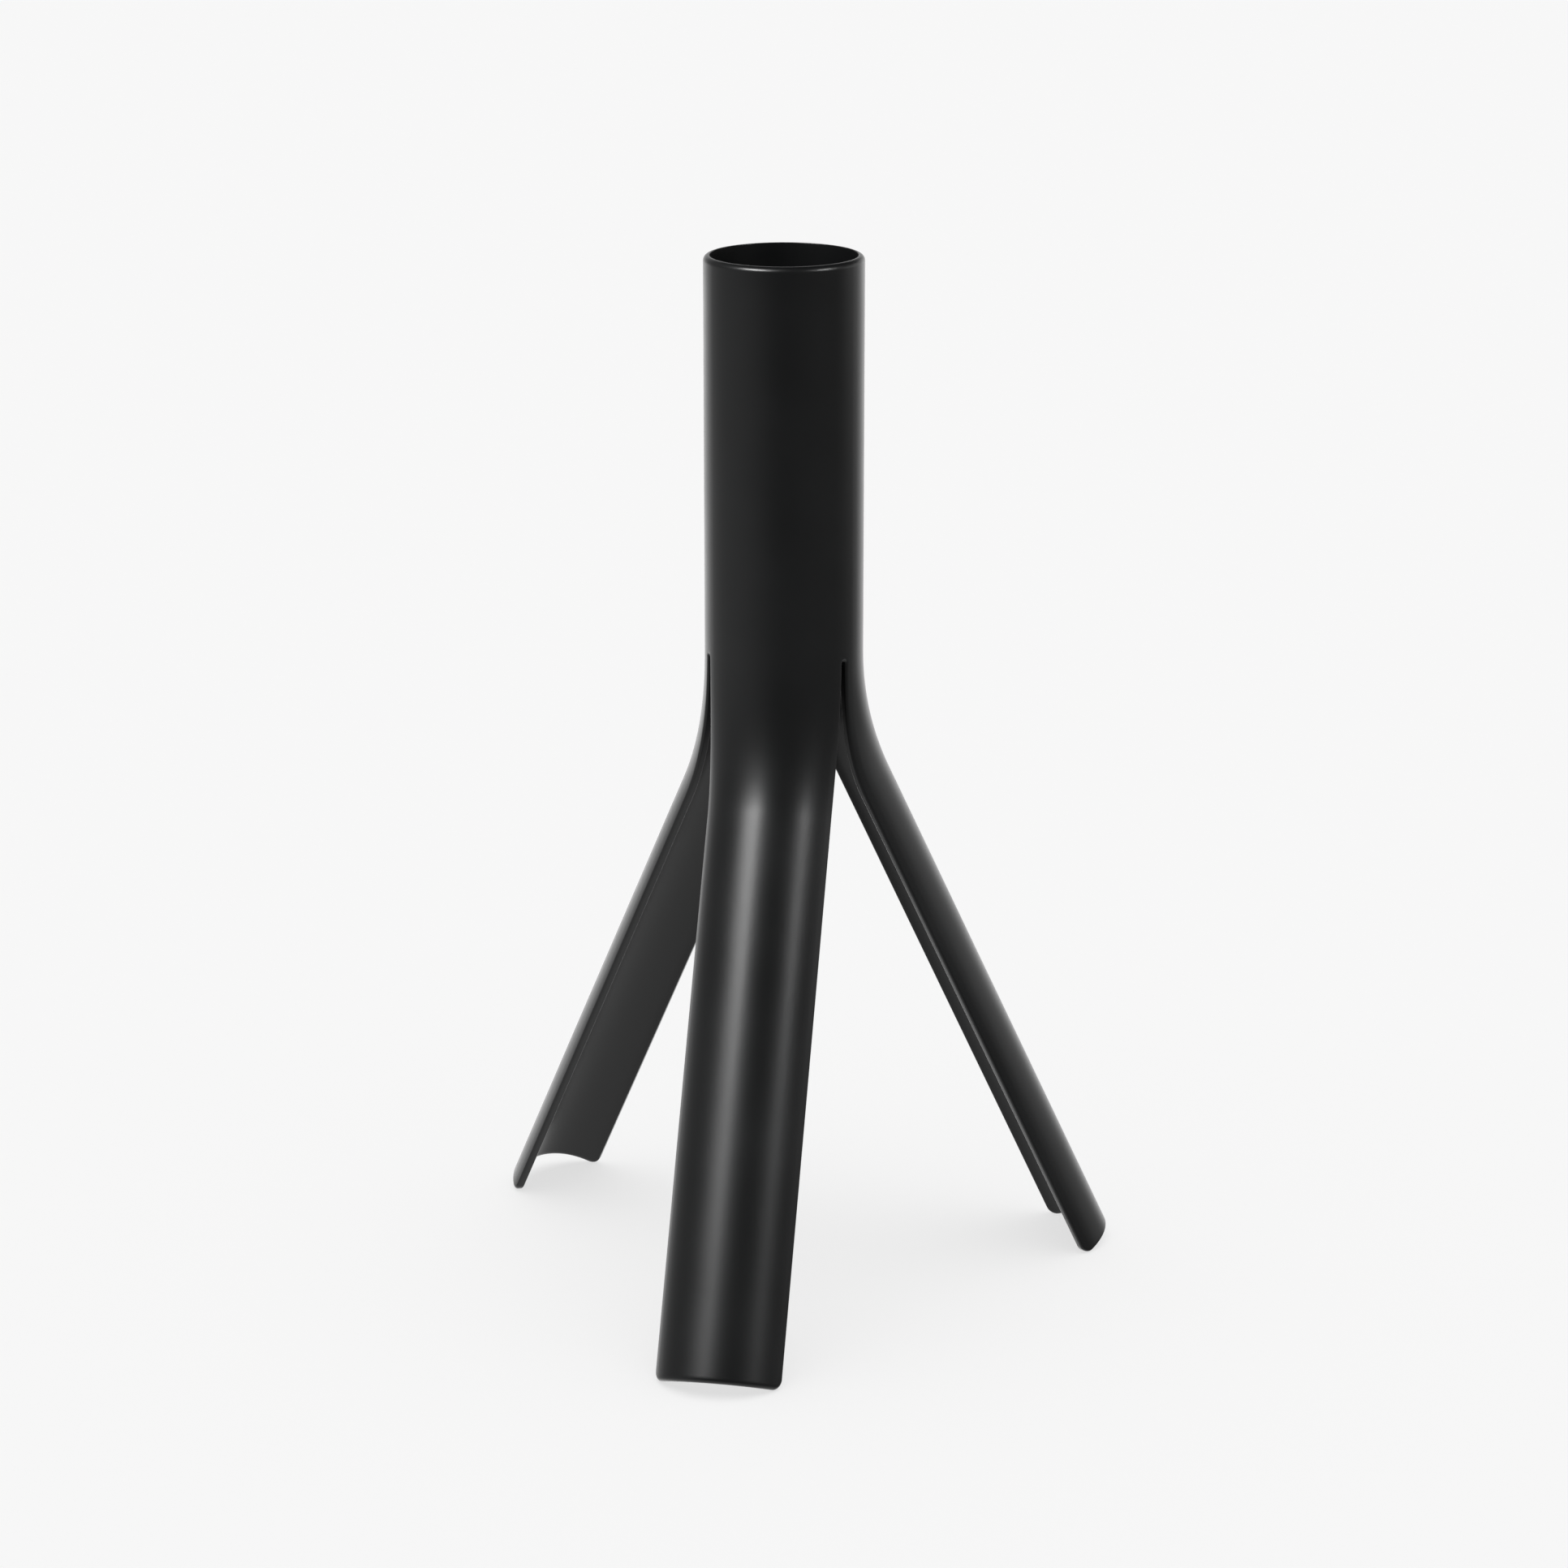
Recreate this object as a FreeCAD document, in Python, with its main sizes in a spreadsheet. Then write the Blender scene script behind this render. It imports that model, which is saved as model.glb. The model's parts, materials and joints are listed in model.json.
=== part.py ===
import FreeCAD, Part
import math
import os
import Sketcher
from FreeCAD import Placement, Rotation, Vector

# Single-candle holder made from one steel tube, in millimetres, +Z up.
# The tube is slit into three strips from its lower end, and each strip is bent
# outwards into a leg. The origin is on the tube's axis, at the table it stands on.
# The front leg points along -Y.

DIMENSIONS = {
    "tube_diameter": 25.0,
    "tube_wall": 1.25,
    "total_height": 165.5,
    "socket_diameter": 23.0,
    "socket_depth": 25.0,
    "lip_radius": 0.9,
    "stop_thickness": 1.0,
    "stop_edge_break": 0.2,
    "slot_top_height": 103.0,
    "strip_half_angle": 58.0,
    "bend_radius": 59.5,
    "section_radius": 10.9,
    "corner_radius": 1.8,
    "front_splay": 27.5,
    "front_yaw": 0.0,
    "right_splay": 25.0,
    "right_yaw": -6.0,
    "left_splay": 28.0,
    "left_yaw": -2.5,
}

# Node name, the key of its splay and yaw, and the direction of its strip round the tube.
LEGS = [("leg_front", "front", -90.0), ("leg_right", "right", 30.0), ("leg_left", "left", 150.0)]

BEND_STATIONS = 6

doc = FreeCAD.newDocument("candle_holder")
sheet = doc.addObject("Spreadsheet::Sheet", "dims")
for row, (alias, value) in enumerate(DIMENSIONS.items(), start=1):
    sheet.set(f"A{row}", alias)
    sheet.set(f"B{row}", str(value))
    sheet.setAlias(f"B{row}", alias)
doc.recompute()


def new_body(name):
    body = doc.addObject("PartDesign::Body", name)
    body.Label = name
    return body


def new_sketch(body, name, plane_role, offset=None):
    sketch = body.newObject("Sketcher::SketchObject", name)
    plane = next(f for f in body.Origin.OriginFeatures if f.Role == plane_role)
    sketch.AttachmentSupport = [(plane, "")]
    sketch.MapMode = "FlatFace"
    if offset:
        sketch.AttachmentOffset = offset
    return sketch


def bind(sketch, constraint, name, expression):
    """Add a dimension to a sketch and drive it from the sheet."""
    index = sketch.addConstraint(constraint)
    sketch.renameConstraint(index, name)
    sketch.setExpression(f"Constraints.{name}", expression)


def make_stem():
    """The whole part of the tube: the candle socket, the shoulder under it and the plain bore."""
    body = new_body("stem_tube")
    profile = new_sketch(body, "stem_profile", "XZ_Plane")
    outer = DIMENSIONS["tube_diameter"] / 2
    socket = DIMENSIONS["socket_diameter"] / 2
    bore = outer - DIMENSIONS["tube_wall"]
    foot = DIMENSIONS["slot_top_height"]
    top = DIMENSIONS["total_height"]
    lip = DIMENSIONS["lip_radius"]
    shoulder = top - DIMENSIONS["socket_depth"]
    corners = [(bore, foot), (outer, foot), (outer, top - lip), (outer - lip, top),
               (socket, top), (socket, shoulder), (bore, shoulder)]
    points = [Vector(x, z, 0) for x, z in corners]
    lip_centre = Vector(outer - lip, top - lip, 0)
    lip_arc = Part.ArcOfCircle(Part.Circle(lip_centre, Vector(0, 0, 1), lip), 0, math.pi / 2)
    geometry = [Part.LineSegment(points[0], points[1]), Part.LineSegment(points[1], points[2]), lip_arc]
    geometry += [Part.LineSegment(a, b) for a, b in zip(points[3:], points[4:] + points[:1])]
    profile.addGeometry(geometry)
    bottom, side, arc, rim, socket_wall, step, bore_wall = range(7)
    ring = [bottom, side, arc, rim, socket_wall, step, bore_wall]
    for first, second in zip(ring, ring[1:] + ring[:1]):
        if arc in (first, second):
            continue
        profile.addConstraint(Sketcher.Constraint("Coincident", first, 2, second, 1))
    profile.addConstraint(Sketcher.Constraint("Tangent", side, 2, arc, 1))
    profile.addConstraint(Sketcher.Constraint("Tangent", arc, 2, rim, 1))
    for line in (bottom, rim, step):
        profile.addConstraint(Sketcher.Constraint("Horizontal", line))
    for line in (side, socket_wall, bore_wall):
        profile.addConstraint(Sketcher.Constraint("Vertical", line))
    bind(profile, Sketcher.Constraint("DistanceX", -1, 1, bottom, 2, outer), "outer_radius",
         "dims.tube_diameter / 2")
    bind(profile, Sketcher.Constraint("DistanceX", -1, 1, bottom, 1, bore), "bore_radius",
         "dims.tube_diameter / 2 - dims.tube_wall")
    bind(profile, Sketcher.Constraint("DistanceX", -1, 1, rim, 2, socket), "socket_radius",
         "dims.socket_diameter / 2")
    bind(profile, Sketcher.Constraint("DistanceY", -1, 1, bottom, 2, foot), "foot_height",
         "dims.slot_top_height")
    bind(profile, Sketcher.Constraint("DistanceY", -1, 1, rim, 2, top), "top_height",
         "dims.total_height")
    bind(profile, Sketcher.Constraint("DistanceY", -1, 1, step, 1, shoulder), "shoulder_height",
         "dims.total_height - dims.socket_depth")
    bind(profile, Sketcher.Constraint("Radius", arc, lip), "lip_radius", "dims.lip_radius")
    doc.recompute()
    turn = body.newObject("PartDesign::Revolution", "stem_turn")
    turn.Profile = profile
    turn.ReferenceAxis = (profile, ["V_Axis"])
    turn.Angle = 360
    return body


def make_stop():
    """The disc that closes the socket: pressed into the plain bore, level with the shoulder."""
    body = new_body("candle_stop")
    outline = new_sketch(body, "stop_outline", "XY_Plane")
    outline.setExpression("AttachmentOffset.Base.z",
                          "dims.total_height - dims.socket_depth - dims.stop_thickness")
    bore = DIMENSIONS["tube_diameter"] / 2 - DIMENSIONS["tube_wall"]
    outline.addGeometry(Part.Circle(Vector(0, 0, 0), Vector(0, 0, 1), bore))
    outline.addConstraint(Sketcher.Constraint("Coincident", 0, 3, -1, 1))
    bind(outline, Sketcher.Constraint("Radius", 0, bore), "stop_radius",
         "dims.tube_diameter / 2 - dims.tube_wall")
    plate = body.newObject("PartDesign::Pad", "stop_plate")
    plate.Profile = outline
    plate.setExpression("Length", "dims.stop_thickness")
    doc.recompute()
    edge_break = body.newObject("PartDesign::Chamfer", "stop_edges")
    edge_break.Base = (plate, ["Edge1", "Edge3"])
    edge_break.setExpression("Size", "dims.stop_edge_break")
    return body


def blend(station):
    """How far a leg's section has changed from the tube's own arc, 0 at the root to 1 past the bend."""
    share = station / BEND_STATIONS
    return share * share * (3 - 2 * share)


def section_sketch(body, name, side, station):
    """A leg's section, square to its path: a band of tube wall between two arcs about one centre.

    The crown stays on the tube's surface, and the arcs tighten and turn into the bend's plane.
    """
    change = blend(station)
    turned = f"(dims.{side}_splay * {station} / {BEND_STATIONS})"
    radius = f"(dims.tube_diameter / 2 + (dims.section_radius - dims.tube_diameter / 2) * {change:.5f})"
    half = f"(dims.strip_half_angle * dims.tube_diameter / 2 / {radius})"
    middle = f"(-dims.{side}_yaw * {1 - change:.5f})"
    centre_out = f"(dims.tube_diameter / 2 - {radius})"

    sketch = new_sketch(body, name, "XY_Plane", Placement(Vector(), Rotation(Vector(0, -1, 0), 1)))
    sketch.setExpression("AttachmentOffset.Rotation.Angle", turned)
    sketch.setExpression("AttachmentOffset.Base.x",
                         f"dims.bend_radius * (1 - cos({turned})) + {centre_out} * cos({turned})")
    sketch.setExpression("AttachmentOffset.Base.z",
                         f"dims.slot_top_height - dims.bend_radius * sin({turned})"
                         f" + {centre_out} * sin({turned})")

    outer_r = DIMENSIONS["tube_diameter"] / 2
    inner_r = outer_r - DIMENSIONS["tube_wall"]
    spread = math.radians(DIMENSIONS["strip_half_angle"])

    def arc(r):
        return Part.ArcOfCircle(Part.Circle(Vector(0, 0, 0), Vector(0, 0, 1), r), -spread, spread)

    def edge(sign):
        direction = Vector(math.cos(spread), sign * math.sin(spread), 0)
        return Part.LineSegment(direction * inner_r, direction * outer_r)

    outer, inner, low, high = range(4)
    sketch.addGeometry([arc(outer_r), arc(inner_r), edge(-1), edge(1)])
    for curve in (outer, inner):
        sketch.addConstraint(Sketcher.Constraint("Coincident", curve, 3, -1, 1))
    for line, end in ((low, 1), (high, 2)):
        sketch.addConstraint(Sketcher.Constraint("Coincident", inner, end, line, 1))
        sketch.addConstraint(Sketcher.Constraint("Coincident", outer, end, line, 2))
        sketch.addConstraint(Sketcher.Constraint("PointOnObject", -1, 1, line))
    bind(sketch, Sketcher.Constraint("Radius", outer, outer_r), "outer_radius", radius)
    bind(sketch, Sketcher.Constraint("Radius", inner, inner_r), "inner_radius", f"{radius} - dims.tube_wall")
    bind(sketch, Sketcher.Constraint("Angle", low, -spread), "low_edge", f"{middle} - {half}")
    bind(sketch, Sketcher.Constraint("Angle", high, spread), "high_edge", f"{middle} + {half}")
    return sketch


def run_length(side):
    """Length of the straight part, so that the foot's two rounded corners just meet the table."""
    splay = f"dims.{side}_splay"
    half = "(dims.strip_half_angle * dims.tube_diameter / 2 / dims.section_radius)"
    inner = "(dims.section_radius - dims.tube_wall)"
    edge_out = f"({inner} * cos({half}) - dims.section_radius + dims.tube_diameter / 2)"
    slope = f"(sin({splay}) * {inner} / dims.section_radius * sin({half}))"
    rounded_off = (f"dims.corner_radius * (cos({splay}) + {slope}"
                   f" - sqrt(cos({splay})^2 + {slope}^2))")
    return (f"(dims.slot_top_height - dims.bend_radius * sin({splay}) + {edge_out} * sin({splay})"
            f" + {rounded_off}) / cos({splay})")


def corner_edges(feature, end_normal):
    """Names of the two edges across the wall at the leg's cut end."""
    shape = feature.Shape
    end = max((f for f in shape.Faces if f.Surface.TypeId == "Part::GeomPlane"),
              key=lambda f: f.CenterOfMass.dot(end_normal))
    wall = DIMENSIONS["tube_wall"]
    names = []
    for number, candidate in enumerate(shape.Edges, start=1):
        straight = candidate.Curve.TypeId == "Part::GeomLine"
        in_end = any(candidate.isSame(other) for other in end.Edges)
        if straight and in_end and abs(candidate.Length - wall) < wall / 10:
            names.append(f"Edge{number}")
    return names


def make_leg(name, side, strip_direction):
    """One strip of the tube: a smooth outward bend, then a straight run to the foot."""
    body = new_body(name)
    sketches = [section_sketch(body, f"{name}_section_{i}", side, i) for i in range(BEND_STATIONS + 1)]
    doc.recompute()
    run = body.newObject("PartDesign::Pad", f"{name}_run")
    run.Profile = sketches[-1]
    run.Reversed = True
    run.setExpression("Length", run_length(side))
    doc.recompute()
    bend = body.newObject("PartDesign::AdditiveLoft", f"{name}_bend")
    bend.Profile = sketches[0]
    bend.Sections = sketches[1:]
    doc.recompute()
    splay = math.radians(DIMENSIONS[f"{side}_splay"])
    down_leg = Vector(math.sin(splay), 0, -math.cos(splay))
    corners = body.newObject("PartDesign::Fillet", f"{name}_corners")
    corners.Base = (bend, corner_edges(bend, down_leg))
    corners.setExpression("Radius", "dims.corner_radius")
    direction = strip_direction + DIMENSIONS[f"{side}_yaw"]
    body.Placement = Placement(Vector(), Rotation(Vector(0, 0, 1), direction))
    body.setExpression("Placement.Rotation.Angle", f"{strip_direction} + dims.{side}_yaw")
    return body


parts = [make_stem(), make_stop()]
parts += [make_leg(*leg) for leg in LEGS]
doc.recompute()

for thing in doc.Objects:
    if "Invalid" in thing.State or "Error" in thing.State:
        raise RuntimeError(f"{thing.Label} failed: {thing.State}")
for body in parts:
    if body.Shape.isNull() or not body.Shape.isValid() or len(body.Shape.Solids) != 1:
        raise RuntimeError(f"{body.Label} isn't one valid solid")

os.makedirs("parts", exist_ok=True)
for body in parts:
    body.Shape.exportStep(f"parts/{body.Label}.step")
    box = body.Shape.BoundBox
    print(f"{body.Label}: {body.Shape.Volume:.1f} mm3, x {box.XMin:.2f}..{box.XMax:.2f}, "
          f"y {box.YMin:.2f}..{box.YMax:.2f}, z {box.ZMin:.3f}..{box.ZMax:.3f}")
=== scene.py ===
import json
import math

import bmesh
import bpy
import numpy as np
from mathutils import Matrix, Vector


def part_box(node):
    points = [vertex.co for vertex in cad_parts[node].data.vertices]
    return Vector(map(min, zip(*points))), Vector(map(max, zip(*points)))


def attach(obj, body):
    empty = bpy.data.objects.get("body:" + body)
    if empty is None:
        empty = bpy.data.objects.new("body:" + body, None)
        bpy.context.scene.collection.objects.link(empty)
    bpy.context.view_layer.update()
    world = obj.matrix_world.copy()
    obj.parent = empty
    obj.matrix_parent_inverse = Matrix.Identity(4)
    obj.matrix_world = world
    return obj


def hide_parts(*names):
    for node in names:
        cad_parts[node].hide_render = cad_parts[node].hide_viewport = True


# A holder for one candle: one steel tube, slit into three strips that are bent out as legs.
# The tube and its legs are built here as one seamless skin, worked out on the unrolled sheet
# of the tube's wall. Sheet coordinates are u, the length round the tube from a strip's middle,
# s, the length down the strip from the top of the slots, and depth, into the wall from outside.

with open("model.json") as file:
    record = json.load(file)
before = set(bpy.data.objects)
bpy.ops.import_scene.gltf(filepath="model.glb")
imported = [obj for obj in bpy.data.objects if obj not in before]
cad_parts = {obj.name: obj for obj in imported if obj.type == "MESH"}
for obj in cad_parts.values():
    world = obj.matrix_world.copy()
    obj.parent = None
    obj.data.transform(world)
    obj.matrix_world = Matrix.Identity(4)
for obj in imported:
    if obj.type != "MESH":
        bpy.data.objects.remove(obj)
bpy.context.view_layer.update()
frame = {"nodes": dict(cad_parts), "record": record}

MM = 0.001

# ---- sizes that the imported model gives
stem_low, stem_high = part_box("stem_tube")
stop_low, stop_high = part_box("candle_stop")
socket = next(m for m in frame["record"]["mounts"] if m["name"] == "candle_socket")
TUBE_RADIUS = (stem_high.x - stem_low.x) / 2
STEM_LENGTH = stem_high.z - stem_low.z
SLOT_TOP = stem_low.z
SOCKET_WALL = TUBE_RADIUS - socket["dims"]["r_mm"] * MM
SOCKET_DEPTH = socket["dims"]["length_mm"] * MM
WALL = TUBE_RADIUS - (stop_high.x - stop_low.x) / 2

# ---- how the strips are cut and bent, in degrees and metres
# Each leg has its own bend, turn about the tube, and roundings where its end was cut.
LEGS = {
    "leg_front": {"middle": -90.0, "splay": 27.5, "yaw": 0.0,
                  "foot_outer": 0.75 * MM, "foot_inner": 0.3 * MM},
    "leg_right": {"middle": 30.0, "splay": 25.0, "yaw": -6.0,
                  "foot_outer": 0.25 * MM, "foot_inner": 0.25 * MM},
    "leg_left": {"middle": 150.0, "splay": 28.0, "yaw": -2.5,
                 "foot_outer": 0.65 * MM, "foot_inner": 0.5 * MM},
}
STRIP_HALF = math.radians(58.0) * TUBE_RADIUS
SLOT_HALF = math.radians(2.0) * TUBE_RADIUS
BEND_RADIUS = 59.5 * MM
SECTION_RADIUS = 10.9 * MM
CORNER = 1.8 * MM

# ---- the other edge roundings: the rim and the slots
LIP_OUTER = 0.9 * MM
LIP_INNER = SOCKET_WALL - LIP_OUTER
SLOT_OUTER = 0.45 * MM
SLOT_INNER = 0.2 * MM

# ---- how many columns and rows each zone of the net has
CORNER_STEPS = 4
MIDDLE_STEPS = 26
SLOT_STEPS = 4
NOTCH_STEPS = 3
BEND_STEPS = 26
RUN_STEPS = 22
STEM_STEPS = 16
OUTER_EDGE_STEPS = 6
INNER_EDGE_STEPS = 3
# Rows above the slots: distance from the slot's rounding, and how much of its curve they keep.
ROWS_ABOVE_SLOTS = ((2.2 * MM, 0.0), (1.2 * MM, 0.2), (0.55 * MM, 0.5), (0.0, 1.0))
# Rows this far from the socket's shoulder keep its two corners crisp.
STEP_SUPPORT = 0.1 * MM


def sheet_to_space(leg, u, s, depth):
    """Rolls and bends sheet coordinates of one strip, and of the stem above it, into place."""
    splay = math.radians(leg["splay"])
    yaw = math.radians(leg["yaw"])
    direction = math.radians(leg["middle"]) + yaw
    turned = np.clip(s / BEND_RADIUS, 0, splay)
    share = turned / splay
    change = share * share * (3 - 2 * share)
    straight = np.maximum(s - BEND_RADIUS * splay, 0)
    radius = TUBE_RADIUS + (SECTION_RADIUS - TUBE_RADIUS) * change
    angle = u / radius - yaw * (1 - change)
    rise = (radius - depth) * np.cos(angle) - radius + TUBE_RADIUS
    across = (radius - depth) * np.sin(angle)
    out = BEND_RADIUS * (1 - np.cos(turned)) + straight * math.sin(splay) + rise * np.cos(turned)
    fall = BEND_RADIUS * np.sin(turned) + straight * math.cos(splay) + np.minimum(s, 0)
    x = out * math.cos(direction) - across * math.sin(direction)
    y = out * math.sin(direction) + across * math.cos(direction)
    return np.stack([x, y, SLOT_TOP - fall + rise * np.sin(turned)], axis=-1)


def strip_length(leg):
    """Length of a strip from the slots' top to its cut end, so that its two corners meet the table."""
    splay = math.radians(leg["splay"])
    half = STRIP_HALF / SECTION_RADIUS
    inner = SECTION_RADIUS - WALL
    edge_rise = inner * math.cos(half) - SECTION_RADIUS + TUBE_RADIUS
    slope = math.sin(splay) * inner / SECTION_RADIUS * math.sin(half)
    spared = CORNER * (math.cos(splay) + slope - math.hypot(math.cos(splay), slope))
    fall = SLOT_TOP - BEND_RADIUS * math.sin(splay) + edge_rise * math.sin(splay) + spared
    return BEND_RADIUS * splay + fall / math.cos(splay)


def column_positions(edge):
    """The u of a strip's columns when its outermost columns stand at -edge and edge."""
    shoulder = STRIP_HALF - CORNER
    side = shoulder + (edge - shoulder) * np.arange(1, CORNER_STEPS + 1) / CORNER_STEPS
    return np.concatenate([-side[::-1], np.linspace(-shoulder, shoulder, MIDDLE_STEPS + 1), side])


def round_corner(across, down):
    """A unit square's points on the unit quarter disc, so that a net follows a round corner."""
    return across * np.sqrt(1 - down * down / 2), down * np.sqrt(1 - across * across / 2)


points = []
faces = []


def add_points(positions):
    """Adds points and returns their numbers, in the same shape."""
    start = len(points)
    flat = positions.reshape(-1, 3)
    points.extend(map(tuple, flat))
    return np.arange(start, start + len(flat)).reshape(positions.shape[:-1])


def add_band(first, second, closed):
    """Joins two rows of points with quads."""
    count = len(first)
    for i in range(count if closed else count - 1):
        j = (i + 1) % count
        faces.append((first[i], first[j], second[j], second[i]))


def stem_levels(inset, top):
    """Rows of the stem from the rim down to the slots: s, and how much of the slot's curve each keeps."""
    last = SLOT_HALF - (SLOT_HALF + inset) * math.sin(math.pi / 4)
    near = [(last - gap, keep) for gap, keep in ROWS_ABOVE_SLOTS]
    plain = np.linspace(top - STEM_LENGTH, near[0][0], STEM_STEPS + 1)[:-1]
    return [(s, 0.0) for s in plain] + near


def with_socket(levels):
    """The stem's rows on the inner skin, where the wall is thinner down to the socket's shoulder."""
    shoulder = SOCKET_DEPTH - STEM_LENGTH
    above = [(s, keep, SOCKET_WALL) for s, keep in levels if s < shoulder - 2 * STEP_SUPPORT]
    below = [(s, keep, WALL) for s, keep in levels if s > shoulder + 2 * STEP_SUPPORT]
    step = [(shoulder - STEP_SUPPORT, 0.0, SOCKET_WALL), (shoulder, 0.0, SOCKET_WALL)]
    step += [(shoulder, 0.0, WALL), (shoulder + STEP_SUPPORT, 0.0, WALL)]
    return above + step + below


def make_skin(levels, side_inset, foot):
    """Adds the outer or the inner skin, short of the cut edges by the insets.

    The inset at each leg's end is the rounding called foot in LEGS.
    Returns its top ring, and the ring of points that runs along all the cut edges.
    """
    depth = levels[-1][2]
    reach = SLOT_HALF + side_inset
    slot_angles = math.pi / 4 + math.pi / 2 * np.arange(1, SLOT_STEPS) / SLOT_STEPS
    slot_u = STRIP_HALF + SLOT_HALF - reach * np.cos(slot_angles)
    slot_curve = reach * (math.sin(math.pi / 4) - np.sin(slot_angles))
    stem_u = column_positions(STRIP_HALF + SLOT_HALF - reach * math.cos(math.pi / 4))
    all_u = np.concatenate([stem_u, slot_u])
    rings = []
    for s, keep, row_depth in levels:
        all_s = np.concatenate([np.full(len(stem_u), s), s + keep * slot_curve])
        ring = [sheet_to_space(leg, all_u, all_s, row_depth) for leg in LEGS.values()]
        rings.append(add_points(np.concatenate(ring)))
    for first, second in zip(rings, rings[1:]):
        add_band(first, second, closed=True)

    cut = []
    for number, leg in enumerate(LEGS.values()):
        start = number * len(all_u)
        length = strip_length(leg)
        end_inset = leg[foot]
        bend = BEND_RADIUS * math.radians(leg["splay"])
        rows = [rings[-1][start:start + len(stem_u)]]
        for angle in np.linspace(math.pi / 4, 0, NOTCH_STEPS + 1)[1:]:
            u = column_positions(STRIP_HALF + SLOT_HALF - reach * math.cos(angle))
            s = np.full(len(u), SLOT_HALF - reach * math.sin(angle))
            rows.append(add_points(sheet_to_space(leg, u, s, depth)))
        u = column_positions(STRIP_HALF - side_inset)
        bend_rows = np.linspace(SLOT_HALF, bend, BEND_STEPS + 1)[1:]
        run_rows = np.linspace(bend, length - CORNER, RUN_STEPS + 1)[1:]
        for s in np.concatenate([bend_rows, run_rows]):
            rows.append(add_points(sheet_to_space(leg, u, np.full(len(u), s), depth)))
        steps = np.arange(1, CORNER_STEPS + 1) / CORNER_STEPS
        for down in steps:
            across, lower = round_corner(steps, down)
            side = STRIP_HALF - CORNER + (CORNER - side_inset) * across
            flat = np.full(MIDDLE_STEPS + 1, down)
            u_row = np.concatenate([-side[::-1], u[CORNER_STEPS:-CORNER_STEPS], side])
            s_row = np.concatenate([lower[::-1], flat, lower])
            s_row = length - CORNER + (CORNER - end_inset) * s_row
            rows.append(add_points(sheet_to_space(leg, u_row, s_row, depth)))
        for first, second in zip(rows, rows[1:]):
            add_band(first, second, closed=False)
        cut += [row[0] for row in rows[:-1]] + list(rows[-1]) + [row[-1] for row in rows[-2::-1]]
        cut += list(rings[-1][start + len(stem_u):start + len(all_u)])
    return rings[0], cut


def cut_outline():
    """The true line of the cut edges on the sheet, in the order of make_skin's second ring.

    Each entry is a leg with arrays of u, s, the direction in from the cut in u and s, and how much
    of the foot's rounding, against the slot's, each point has.
    """
    outline = []
    for leg in LEGS.values():
        length = strip_length(leg)
        bend = BEND_RADIUS * math.radians(leg["splay"])
        notch = np.linspace(math.pi / 4, 0, NOTCH_STEPS + 1)
        steps = np.arange(1, CORNER_STEPS + 1) / CORNER_STEPS
        straight = np.concatenate([np.linspace(SLOT_HALF, bend, BEND_STEPS + 1)[1:],
                                   np.linspace(bend, length - CORNER, RUN_STEPS + 1)[1:]])
        across, lower = round_corner(np.ones(CORNER_STEPS), steps)
        over, under = round_corner(steps[:-1], np.ones(CORNER_STEPS - 1))
        corner_x = np.concatenate([across, over[::-1]])
        corner_y = np.concatenate([lower, under[::-1]])
        still = np.zeros(len(straight))
        side_u = np.concatenate([STRIP_HALF + SLOT_HALF * (1 - np.cos(notch)), still + STRIP_HALF,
                                 STRIP_HALF - CORNER * (1 - corner_x)])
        side_s = np.concatenate([SLOT_HALF * (1 - np.sin(notch)), straight,
                                 length - CORNER * (1 - corner_y)])
        into_u = np.concatenate([-np.cos(notch), still - 1, -corner_x])
        into_s = np.concatenate([-np.sin(notch), still, -corner_y])
        foot = np.concatenate([0 * notch, still, corner_y])
        middle = column_positions(STRIP_HALF)[CORNER_STEPS:-CORNER_STEPS]
        flat = np.ones(len(middle))
        slot = math.pi / 4 + math.pi / 2 * np.arange(1, SLOT_STEPS) / SLOT_STEPS
        outline.append((
            leg,
            np.concatenate([-side_u, middle, side_u[::-1],
                            STRIP_HALF + SLOT_HALF * (1 - np.cos(slot))]),
            np.concatenate([side_s, flat * length, side_s[::-1], SLOT_HALF * (1 - np.sin(slot))]),
            np.concatenate([-into_u, 0 * flat, into_u[::-1], -np.cos(slot)]),
            np.concatenate([into_s, -flat, into_s[::-1], -np.sin(slot)]),
            np.concatenate([foot, flat, foot[::-1], 0 * slot]),
        ))
    return outline


def rounding(outer_first, inner_last, flat_between, place):
    """Joins two rings by rows that turn round the outer arris, cross the wall and turn round the inner."""
    rows = [outer_first]
    for k in range(1, OUTER_EDGE_STEPS + 1):
        turn = math.pi / 2 * k / OUTER_EDGE_STEPS
        rows.append(add_points(place("outer", 1 - math.sin(turn), 1 - math.cos(turn))))
    for k in range(0 if flat_between else 1, INNER_EDGE_STEPS):
        turn = math.pi / 2 * k / INNER_EDGE_STEPS
        rows.append(add_points(place("inner", 1 - math.cos(turn), 1 - math.sin(turn))))
    rows.append(inner_last)
    for first, second in zip(rows, rows[1:]):
        add_band(first, second, closed=True)


def place_on_cut(skin, inset_share, depth_share):
    """A ring of the cut edges' rounding, at a share of its radius in from the cut and below the skin."""
    rings = []
    for leg, u, s, into_u, into_s, foot in cut_outline():
        if skin == "outer":
            side_radius, end_radius = SLOT_OUTER, leg["foot_outer"]
        else:
            side_radius, end_radius = SLOT_INNER, leg["foot_inner"]
        radius = side_radius + (end_radius - side_radius) * foot * foot
        in_u = side_radius * into_u
        in_s = np.where(foot > 0, end_radius, side_radius) * into_s
        depth = radius * depth_share if skin == "outer" else WALL - radius * depth_share
        rings.append(sheet_to_space(leg, u + in_u * inset_share, s + in_s * inset_share, depth))
    return np.concatenate(rings)


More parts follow.
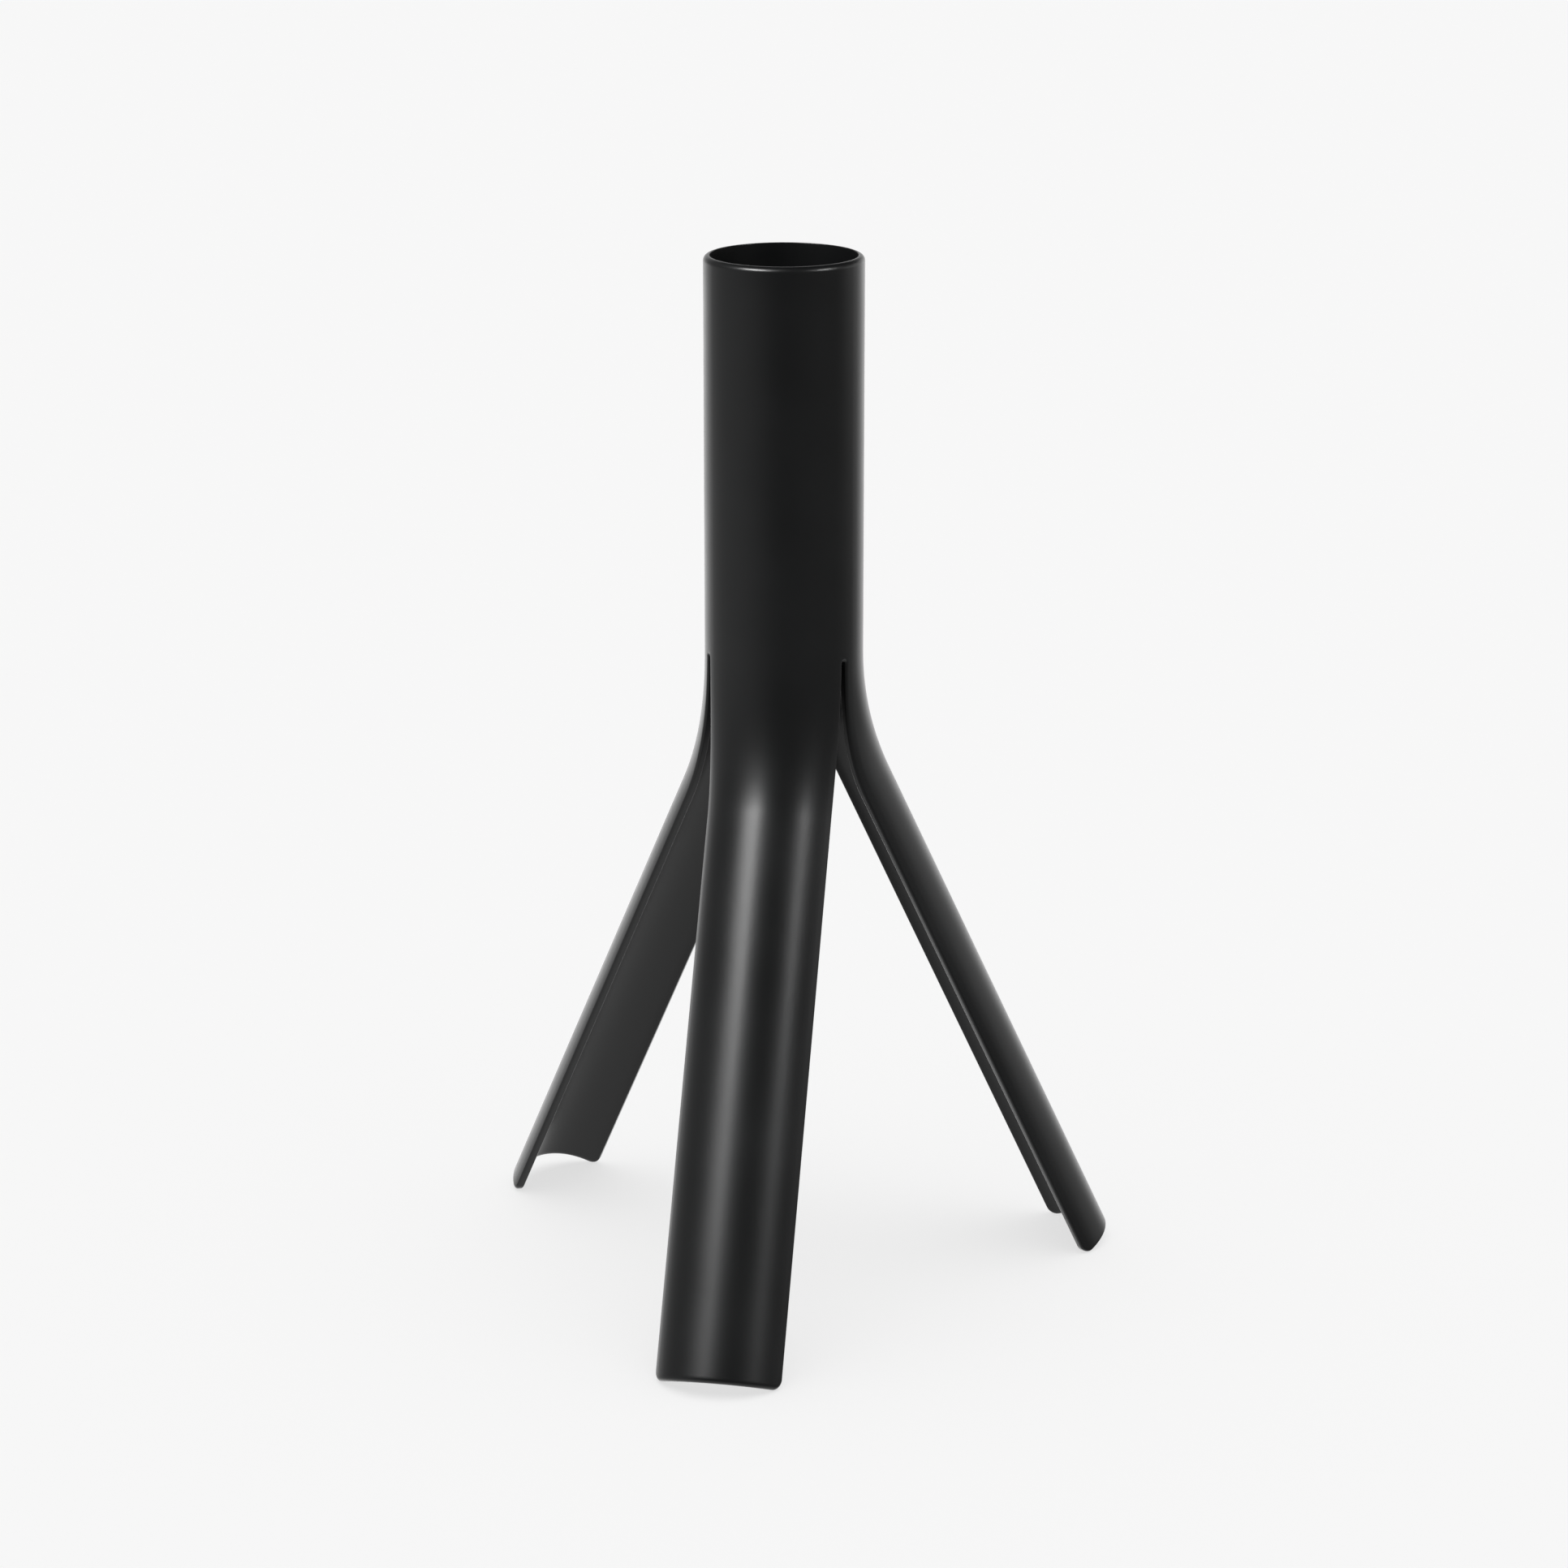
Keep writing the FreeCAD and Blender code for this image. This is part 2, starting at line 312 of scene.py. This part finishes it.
outer_levels = [(s, keep, 0.0) for s, keep in stem_levels(SLOT_OUTER, LIP_OUTER)]
inner_levels = with_socket(stem_levels(SLOT_INNER, LIP_INNER))
outer_rim, outer_cut = make_skin(outer_levels, SLOT_OUTER, "foot_outer")
inner_rim, inner_cut = make_skin(inner_levels, SLOT_INNER, "foot_inner")


def place_on_rim(skin, inset_share, depth_share):
    """A ring of the rim's rounding, at a share of its radius below the top and below the skin."""
    ring = np.array(points)[outer_rim if skin == "outer" else inner_rim]
    radius = LIP_OUTER if skin == "outer" else LIP_INNER
    depth = radius * depth_share if skin == "outer" else SOCKET_WALL - radius * depth_share
    around = ring[:, :2] / np.linalg.norm(ring[:, :2], axis=1)[:, None]
    height = np.full((len(ring), 1), SLOT_TOP + STEM_LENGTH - radius * inset_share)
    return np.hstack([around * (TUBE_RADIUS - depth), height])


rounding(outer_cut, inner_cut, True, place_on_cut)
rounding(outer_rim, inner_rim, False, place_on_rim)


def make_mesh(name, mesh_points, mesh_faces):
    """Adds a smooth-shaded mesh object to the scene, its faces all turned the same way."""
    mesh = bpy.data.meshes.new(name)
    mesh.from_pydata([tuple(map(float, p)) for p in mesh_points], [],
                     [tuple(map(int, f)) for f in mesh_faces])
    work = bmesh.new()
    work.from_mesh(mesh)
    bmesh.ops.recalc_face_normals(work, faces=work.faces)
    work.to_mesh(mesh)
    work.free()
    mesh.shade_smooth()
    thing = bpy.data.objects.new(name, mesh)
    bpy.context.scene.collection.objects.link(thing)
    return thing


tube = make_mesh("slit_tube", points, faces)
normals = tube.modifiers.new("even_shading", "WEIGHTED_NORMAL")
normals.mode = "FACE_AREA"
normals.weight = 60


# ---- black satin powder coat
def make_coat():
    material = bpy.data.materials.new("black_powder_coat")
    material.use_nodes = True
    nodes = material.node_tree.nodes
    links = material.node_tree.links
    shader = nodes["Principled BSDF"]
    shader.inputs["Specular IOR Level"].default_value = 0.5
    place = nodes.new("ShaderNodeTexCoord")

    def noise(scale, detail, roughness):
        node = nodes.new("ShaderNodeTexNoise")
        node.inputs["Scale"].default_value = scale
        node.inputs["Detail"].default_value = detail
        node.inputs["Roughness"].default_value = roughness
        links.new(place.outputs["Object"], node.inputs["Vector"])
        return node.outputs["Fac"]

    def spread(source, low, high, from_low=0.3, from_high=0.7):
        node = nodes.new("ShaderNodeMapRange")
        node.inputs["From Min"].default_value = from_low
        node.inputs["From Max"].default_value = from_high
        node.inputs["To Min"].default_value = low
        node.inputs["To Max"].default_value = high
        links.new(source, node.inputs["Value"])
        return node.outputs["Result"]

    film = noise(45, 3, 0.5)
    peel = noise(900, 2, 0.5)
    grain = noise(5200, 2, 0.6)

    tint = nodes.new("ShaderNodeMix")
    tint.data_type = "RGBA"
    tint.inputs["A"].default_value = (0.003, 0.0032, 0.0034, 1)
    tint.inputs["B"].default_value = (0.0044, 0.0047, 0.005, 1)
    links.new(spread(film, 0.0, 1.0), tint.inputs["Factor"])
    links.new(tint.outputs["Result"], shader.inputs["Base Color"])

    gloss = nodes.new("ShaderNodeMath")
    gloss.operation = "ADD"
    links.new(spread(film, 0.31, 0.36), gloss.inputs[0])
    links.new(spread(grain, -0.02, 0.02), gloss.inputs[1])
    links.new(gloss.outputs["Value"], shader.inputs["Roughness"])

    soft = nodes.new("ShaderNodeBump")
    soft.inputs["Strength"].default_value = 0.12
    soft.inputs["Distance"].default_value = 0.00003
    links.new(peel, soft.inputs["Height"])
    fine = nodes.new("ShaderNodeBump")
    fine.inputs["Strength"].default_value = 0.25
    fine.inputs["Distance"].default_value = 0.000008
    links.new(grain, fine.inputs["Height"])
    links.new(soft.outputs["Normal"], fine.inputs["Normal"])
    links.new(fine.outputs["Normal"], shader.inputs["Normal"])
    return material


coat = make_coat()
tube.data.materials.append(coat)
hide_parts("stem_tube", "leg_front", "leg_right", "leg_left")
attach(tube, "root")

stop = frame["nodes"]["candle_stop"]
stop.data.materials.clear()
stop.data.materials.append(coat)


# ---- floor, light and camera
CAMERA_AZIMUTH = math.radians(11.0)
CAMERA_ELEVATION = math.radians(16.0)
CAMERA_DISTANCE = 718.5 * MM
CAMERA_LENS = 103.7
CAMERA_SENSOR = 36.0
AIM = Vector((0.0, 0.0, 80.7 * MM))
TABLE_RADIUS = 0.3
TABLE_RINGS = 6
FLOOR_RADIUS = 6.0
FLOOR_RINGS = 8
DOME_RINGS = 24
# Most of the paper's brightness is its own glow, so that shadows on it stay faint.
PAPER_COLOUR = 0.3
PAPER_GLOW = 0.69
BACKDROP_GLOW = 0.93
SOFTBOX_DISTANCE = 1.6
# How bright the room is in the directions that no part of it lights up.
ROOM_DARKEST = 0.035


def ring_net(name, profile, hub=True, count=96):
    """A surface turned about the vertical axis from (radius, height) pairs, with or without its middle."""
    angles = np.linspace(0, 2 * math.pi, count, endpoint=False)
    net = [(0.0, 0.0, profile[0][1])]
    net += [(r * math.cos(a), r * math.sin(a), z) for r, z in profile for a in angles]
    sides = [(0, 1 + i, 1 + (i + 1) % count) for i in range(count)] if hub else []
    for k in range(len(profile) - 1):
        near, far = 1 + k * count, 1 + (k + 1) * count
        sides += [(near + i, far + i, far + (i + 1) % count, near + (i + 1) % count)
                  for i in range(count)]
    return make_mesh(name, net, sides)


# The object stands on a round sheet that lights it from below. The wider floor only shows.
table_rings = [(TABLE_RADIUS * k / TABLE_RINGS, 0.0) for k in range(1, TABLE_RINGS + 1)]
growth = FLOOR_RADIUS / TABLE_RADIUS
floor_rings = [(TABLE_RADIUS * growth ** (k / FLOOR_RINGS), 0.0) for k in range(FLOOR_RINGS + 1)]
table = ring_net("studio_table", table_rings)
floor = ring_net("studio_floor", floor_rings, hub=False)
floor.visible_diffuse = False
paper = bpy.data.materials.new("studio_paper")
paper.use_nodes = True
paper_shader = paper.node_tree.nodes["Principled BSDF"]
paper_shader.inputs["Base Color"].default_value = (PAPER_COLOUR, PAPER_COLOUR, PAPER_COLOUR, 1)
paper_shader.inputs["Roughness"].default_value = 0.95
paper_shader.inputs["Specular IOR Level"].default_value = 0.0
paper_shader.inputs["Emission Color"].default_value = (1, 1, 1, 1)
paper_shader.inputs["Emission Strength"].default_value = PAPER_GLOW
for sheet in (table, floor):
    sheet.visible_glossy = False
    sheet.data.materials.append(paper)

turns = np.linspace(math.pi / 2, 0, DOME_RINGS + 1)
dome_rings = [(FLOOR_RADIUS * math.cos(t), FLOOR_RADIUS * math.sin(t)) for t in turns]
dome = ring_net("studio_dome", dome_rings)
glow = bpy.data.materials.new("studio_glow")
glow.use_nodes = True
glow_shader = glow.node_tree.nodes["Principled BSDF"]
glow_shader.inputs["Base Color"].default_value = (0, 0, 0, 1)
glow_shader.inputs["Specular IOR Level"].default_value = 0.0
glow_shader.inputs["Emission Color"].default_value = (1, 1, 1, 1)
glow_shader.inputs["Emission Strength"].default_value = BACKDROP_GLOW
dome.data.materials.append(glow)
dome.visible_diffuse = False
dome.visible_glossy = False
dome.visible_shadow = False


def towards(azimuth, elevation):
    """Unit vector from the object to something at that azimuth and elevation, in radians."""
    return Vector((math.sin(azimuth) * math.cos(elevation),
                   -math.cos(azimuth) * math.cos(elevation), math.sin(elevation)))


lit_by_softboxes = bpy.data.collections.new("lit_by_softboxes")
for thing in (tube, stop):
    lit_by_softboxes.objects.link(thing)
lit_by_overhead = bpy.data.collections.new("lit_by_overhead")
for thing in (table, floor):
    lit_by_overhead.objects.link(thing)


def add_softbox(name, azimuth, elevation, width, height, power):
    """A rectangular soft light, placed by degrees to the right of the camera and above the floor."""
    light = bpy.data.lights.new(name, "AREA")
    light.shape = "RECTANGLE"
    light.size = width
    light.size_y = height
    light.energy = power
    lamp = bpy.data.objects.new(name, light)
    back = towards(CAMERA_AZIMUTH + math.radians(azimuth), math.radians(elevation))
    lamp.location = AIM + back * SOFTBOX_DISTANCE
    lamp.rotation_euler = back.to_track_quat("Z", "Y").to_euler()
    lamp.visible_camera = False
    lamp.light_linking.receiver_collection = lit_by_softboxes
    bpy.context.scene.collection.objects.link(lamp)


add_softbox("softbox_left", azimuth=-50, elevation=45, width=0.75, height=0.45, power=32)
add_softbox("softbox_right", azimuth=64, elevation=31, width=0.4, height=0.4, power=9)
add_softbox("softbox_behind", azimuth=125, elevation=8, width=2.0, height=0.8, power=3)

# The overhead light falls straight down on the table and the floor alone.
overhead = bpy.data.lights.new("overhead", "SUN")
overhead.energy = 2.2
overhead.angle = math.radians(90)
lamp = bpy.data.objects.new("overhead", overhead)
lamp.light_linking.receiver_collection = lit_by_overhead
bpy.context.scene.collection.objects.link(lamp)

# The room is white behind the object, grey on its left, pale below and dark on the camera's side.
world = bpy.data.worlds.new("studio")
world.use_nodes = True
bpy.context.scene.world = world
sky = world.node_tree
looking = sky.nodes.new("ShaderNodeTexCoord")


def sky_math(operation, *inputs):
    """A Math node of the room's brightness, fed with numbers and sockets."""
    node = sky.nodes.new("ShaderNodeMath")
    node.operation = operation
    for slot, value in zip(node.inputs, inputs):
        if isinstance(value, (int, float)):
            slot.default_value = value
        else:
            sky.links.new(value, slot)
    return node.outputs["Value"]


def glow_towards(azimuth, elevation, start, end, strength):
    """Brightness that rises as the room is seen nearer one direction.

    The direction is in degrees to the right of the camera and above the floor. Start and end are
    cosines of the angle from it, where the rise begins and where it reaches its strength.
    """
    aim = sky.nodes.new("ShaderNodeVectorMath")
    aim.operation = "DOT_PRODUCT"
    direction = towards(CAMERA_AZIMUTH + math.radians(azimuth), math.radians(elevation))
    aim.inputs[1].default_value = direction
    sky.links.new(looking.outputs["Generated"], aim.inputs[0])
    rise = sky.nodes.new("ShaderNodeMapRange")
    rise.interpolation_type = "SMOOTHSTEP"
    rise.inputs["From Min"].default_value = start
    rise.inputs["From Max"].default_value = end
    rise.inputs["To Max"].default_value = strength
    sky.links.new(aim.outputs["Value"], rise.inputs["Value"])
    return rise.outputs["Result"]


# The left side is half as bright above the horizon as below it.
low_share = glow_towards(azimuth=0, elevation=-90, start=-0.15, end=0.12, strength=0.5)
low_share = sky_math("ADD", low_share, 0.5)
left_side = glow_towards(azimuth=-105, elevation=-16, start=-0.2, end=0.95, strength=0.38)
left_side = sky_math("MULTIPLY", left_side, low_share)
behind = glow_towards(azimuth=180, elevation=-25, start=0.55, end=1.0, strength=1.6)
right_side = glow_towards(azimuth=75, elevation=-16, start=-0.2, end=1.0, strength=0.12)
underneath = glow_towards(azimuth=0, elevation=-90, start=0.3, end=0.9, strength=0.6)
room = ROOM_DARKEST
for part_of_room in (left_side, behind, right_side, underneath):
    room = sky_math("ADD", part_of_room, room)
sky.links.new(room, sky.nodes["Background"].inputs["Strength"])
sky.nodes["Background"].inputs["Color"].default_value = (1, 1, 1, 1)

camera_data = bpy.data.cameras.new("camera")
camera_data.lens = CAMERA_LENS
camera_data.sensor_width = CAMERA_SENSOR
camera_data.clip_start = 0.01
camera_data.clip_end = 50.0
camera = bpy.data.objects.new("camera", camera_data)
camera.location = AIM + towards(CAMERA_AZIMUTH, CAMERA_ELEVATION) * CAMERA_DISTANCE
camera.rotation_euler = (math.pi / 2 - CAMERA_ELEVATION, 0, CAMERA_AZIMUTH)
bpy.context.scene.collection.objects.link(camera)
bpy.context.scene.camera = camera
bpy.context.scene.view_settings.view_transform = "Standard"
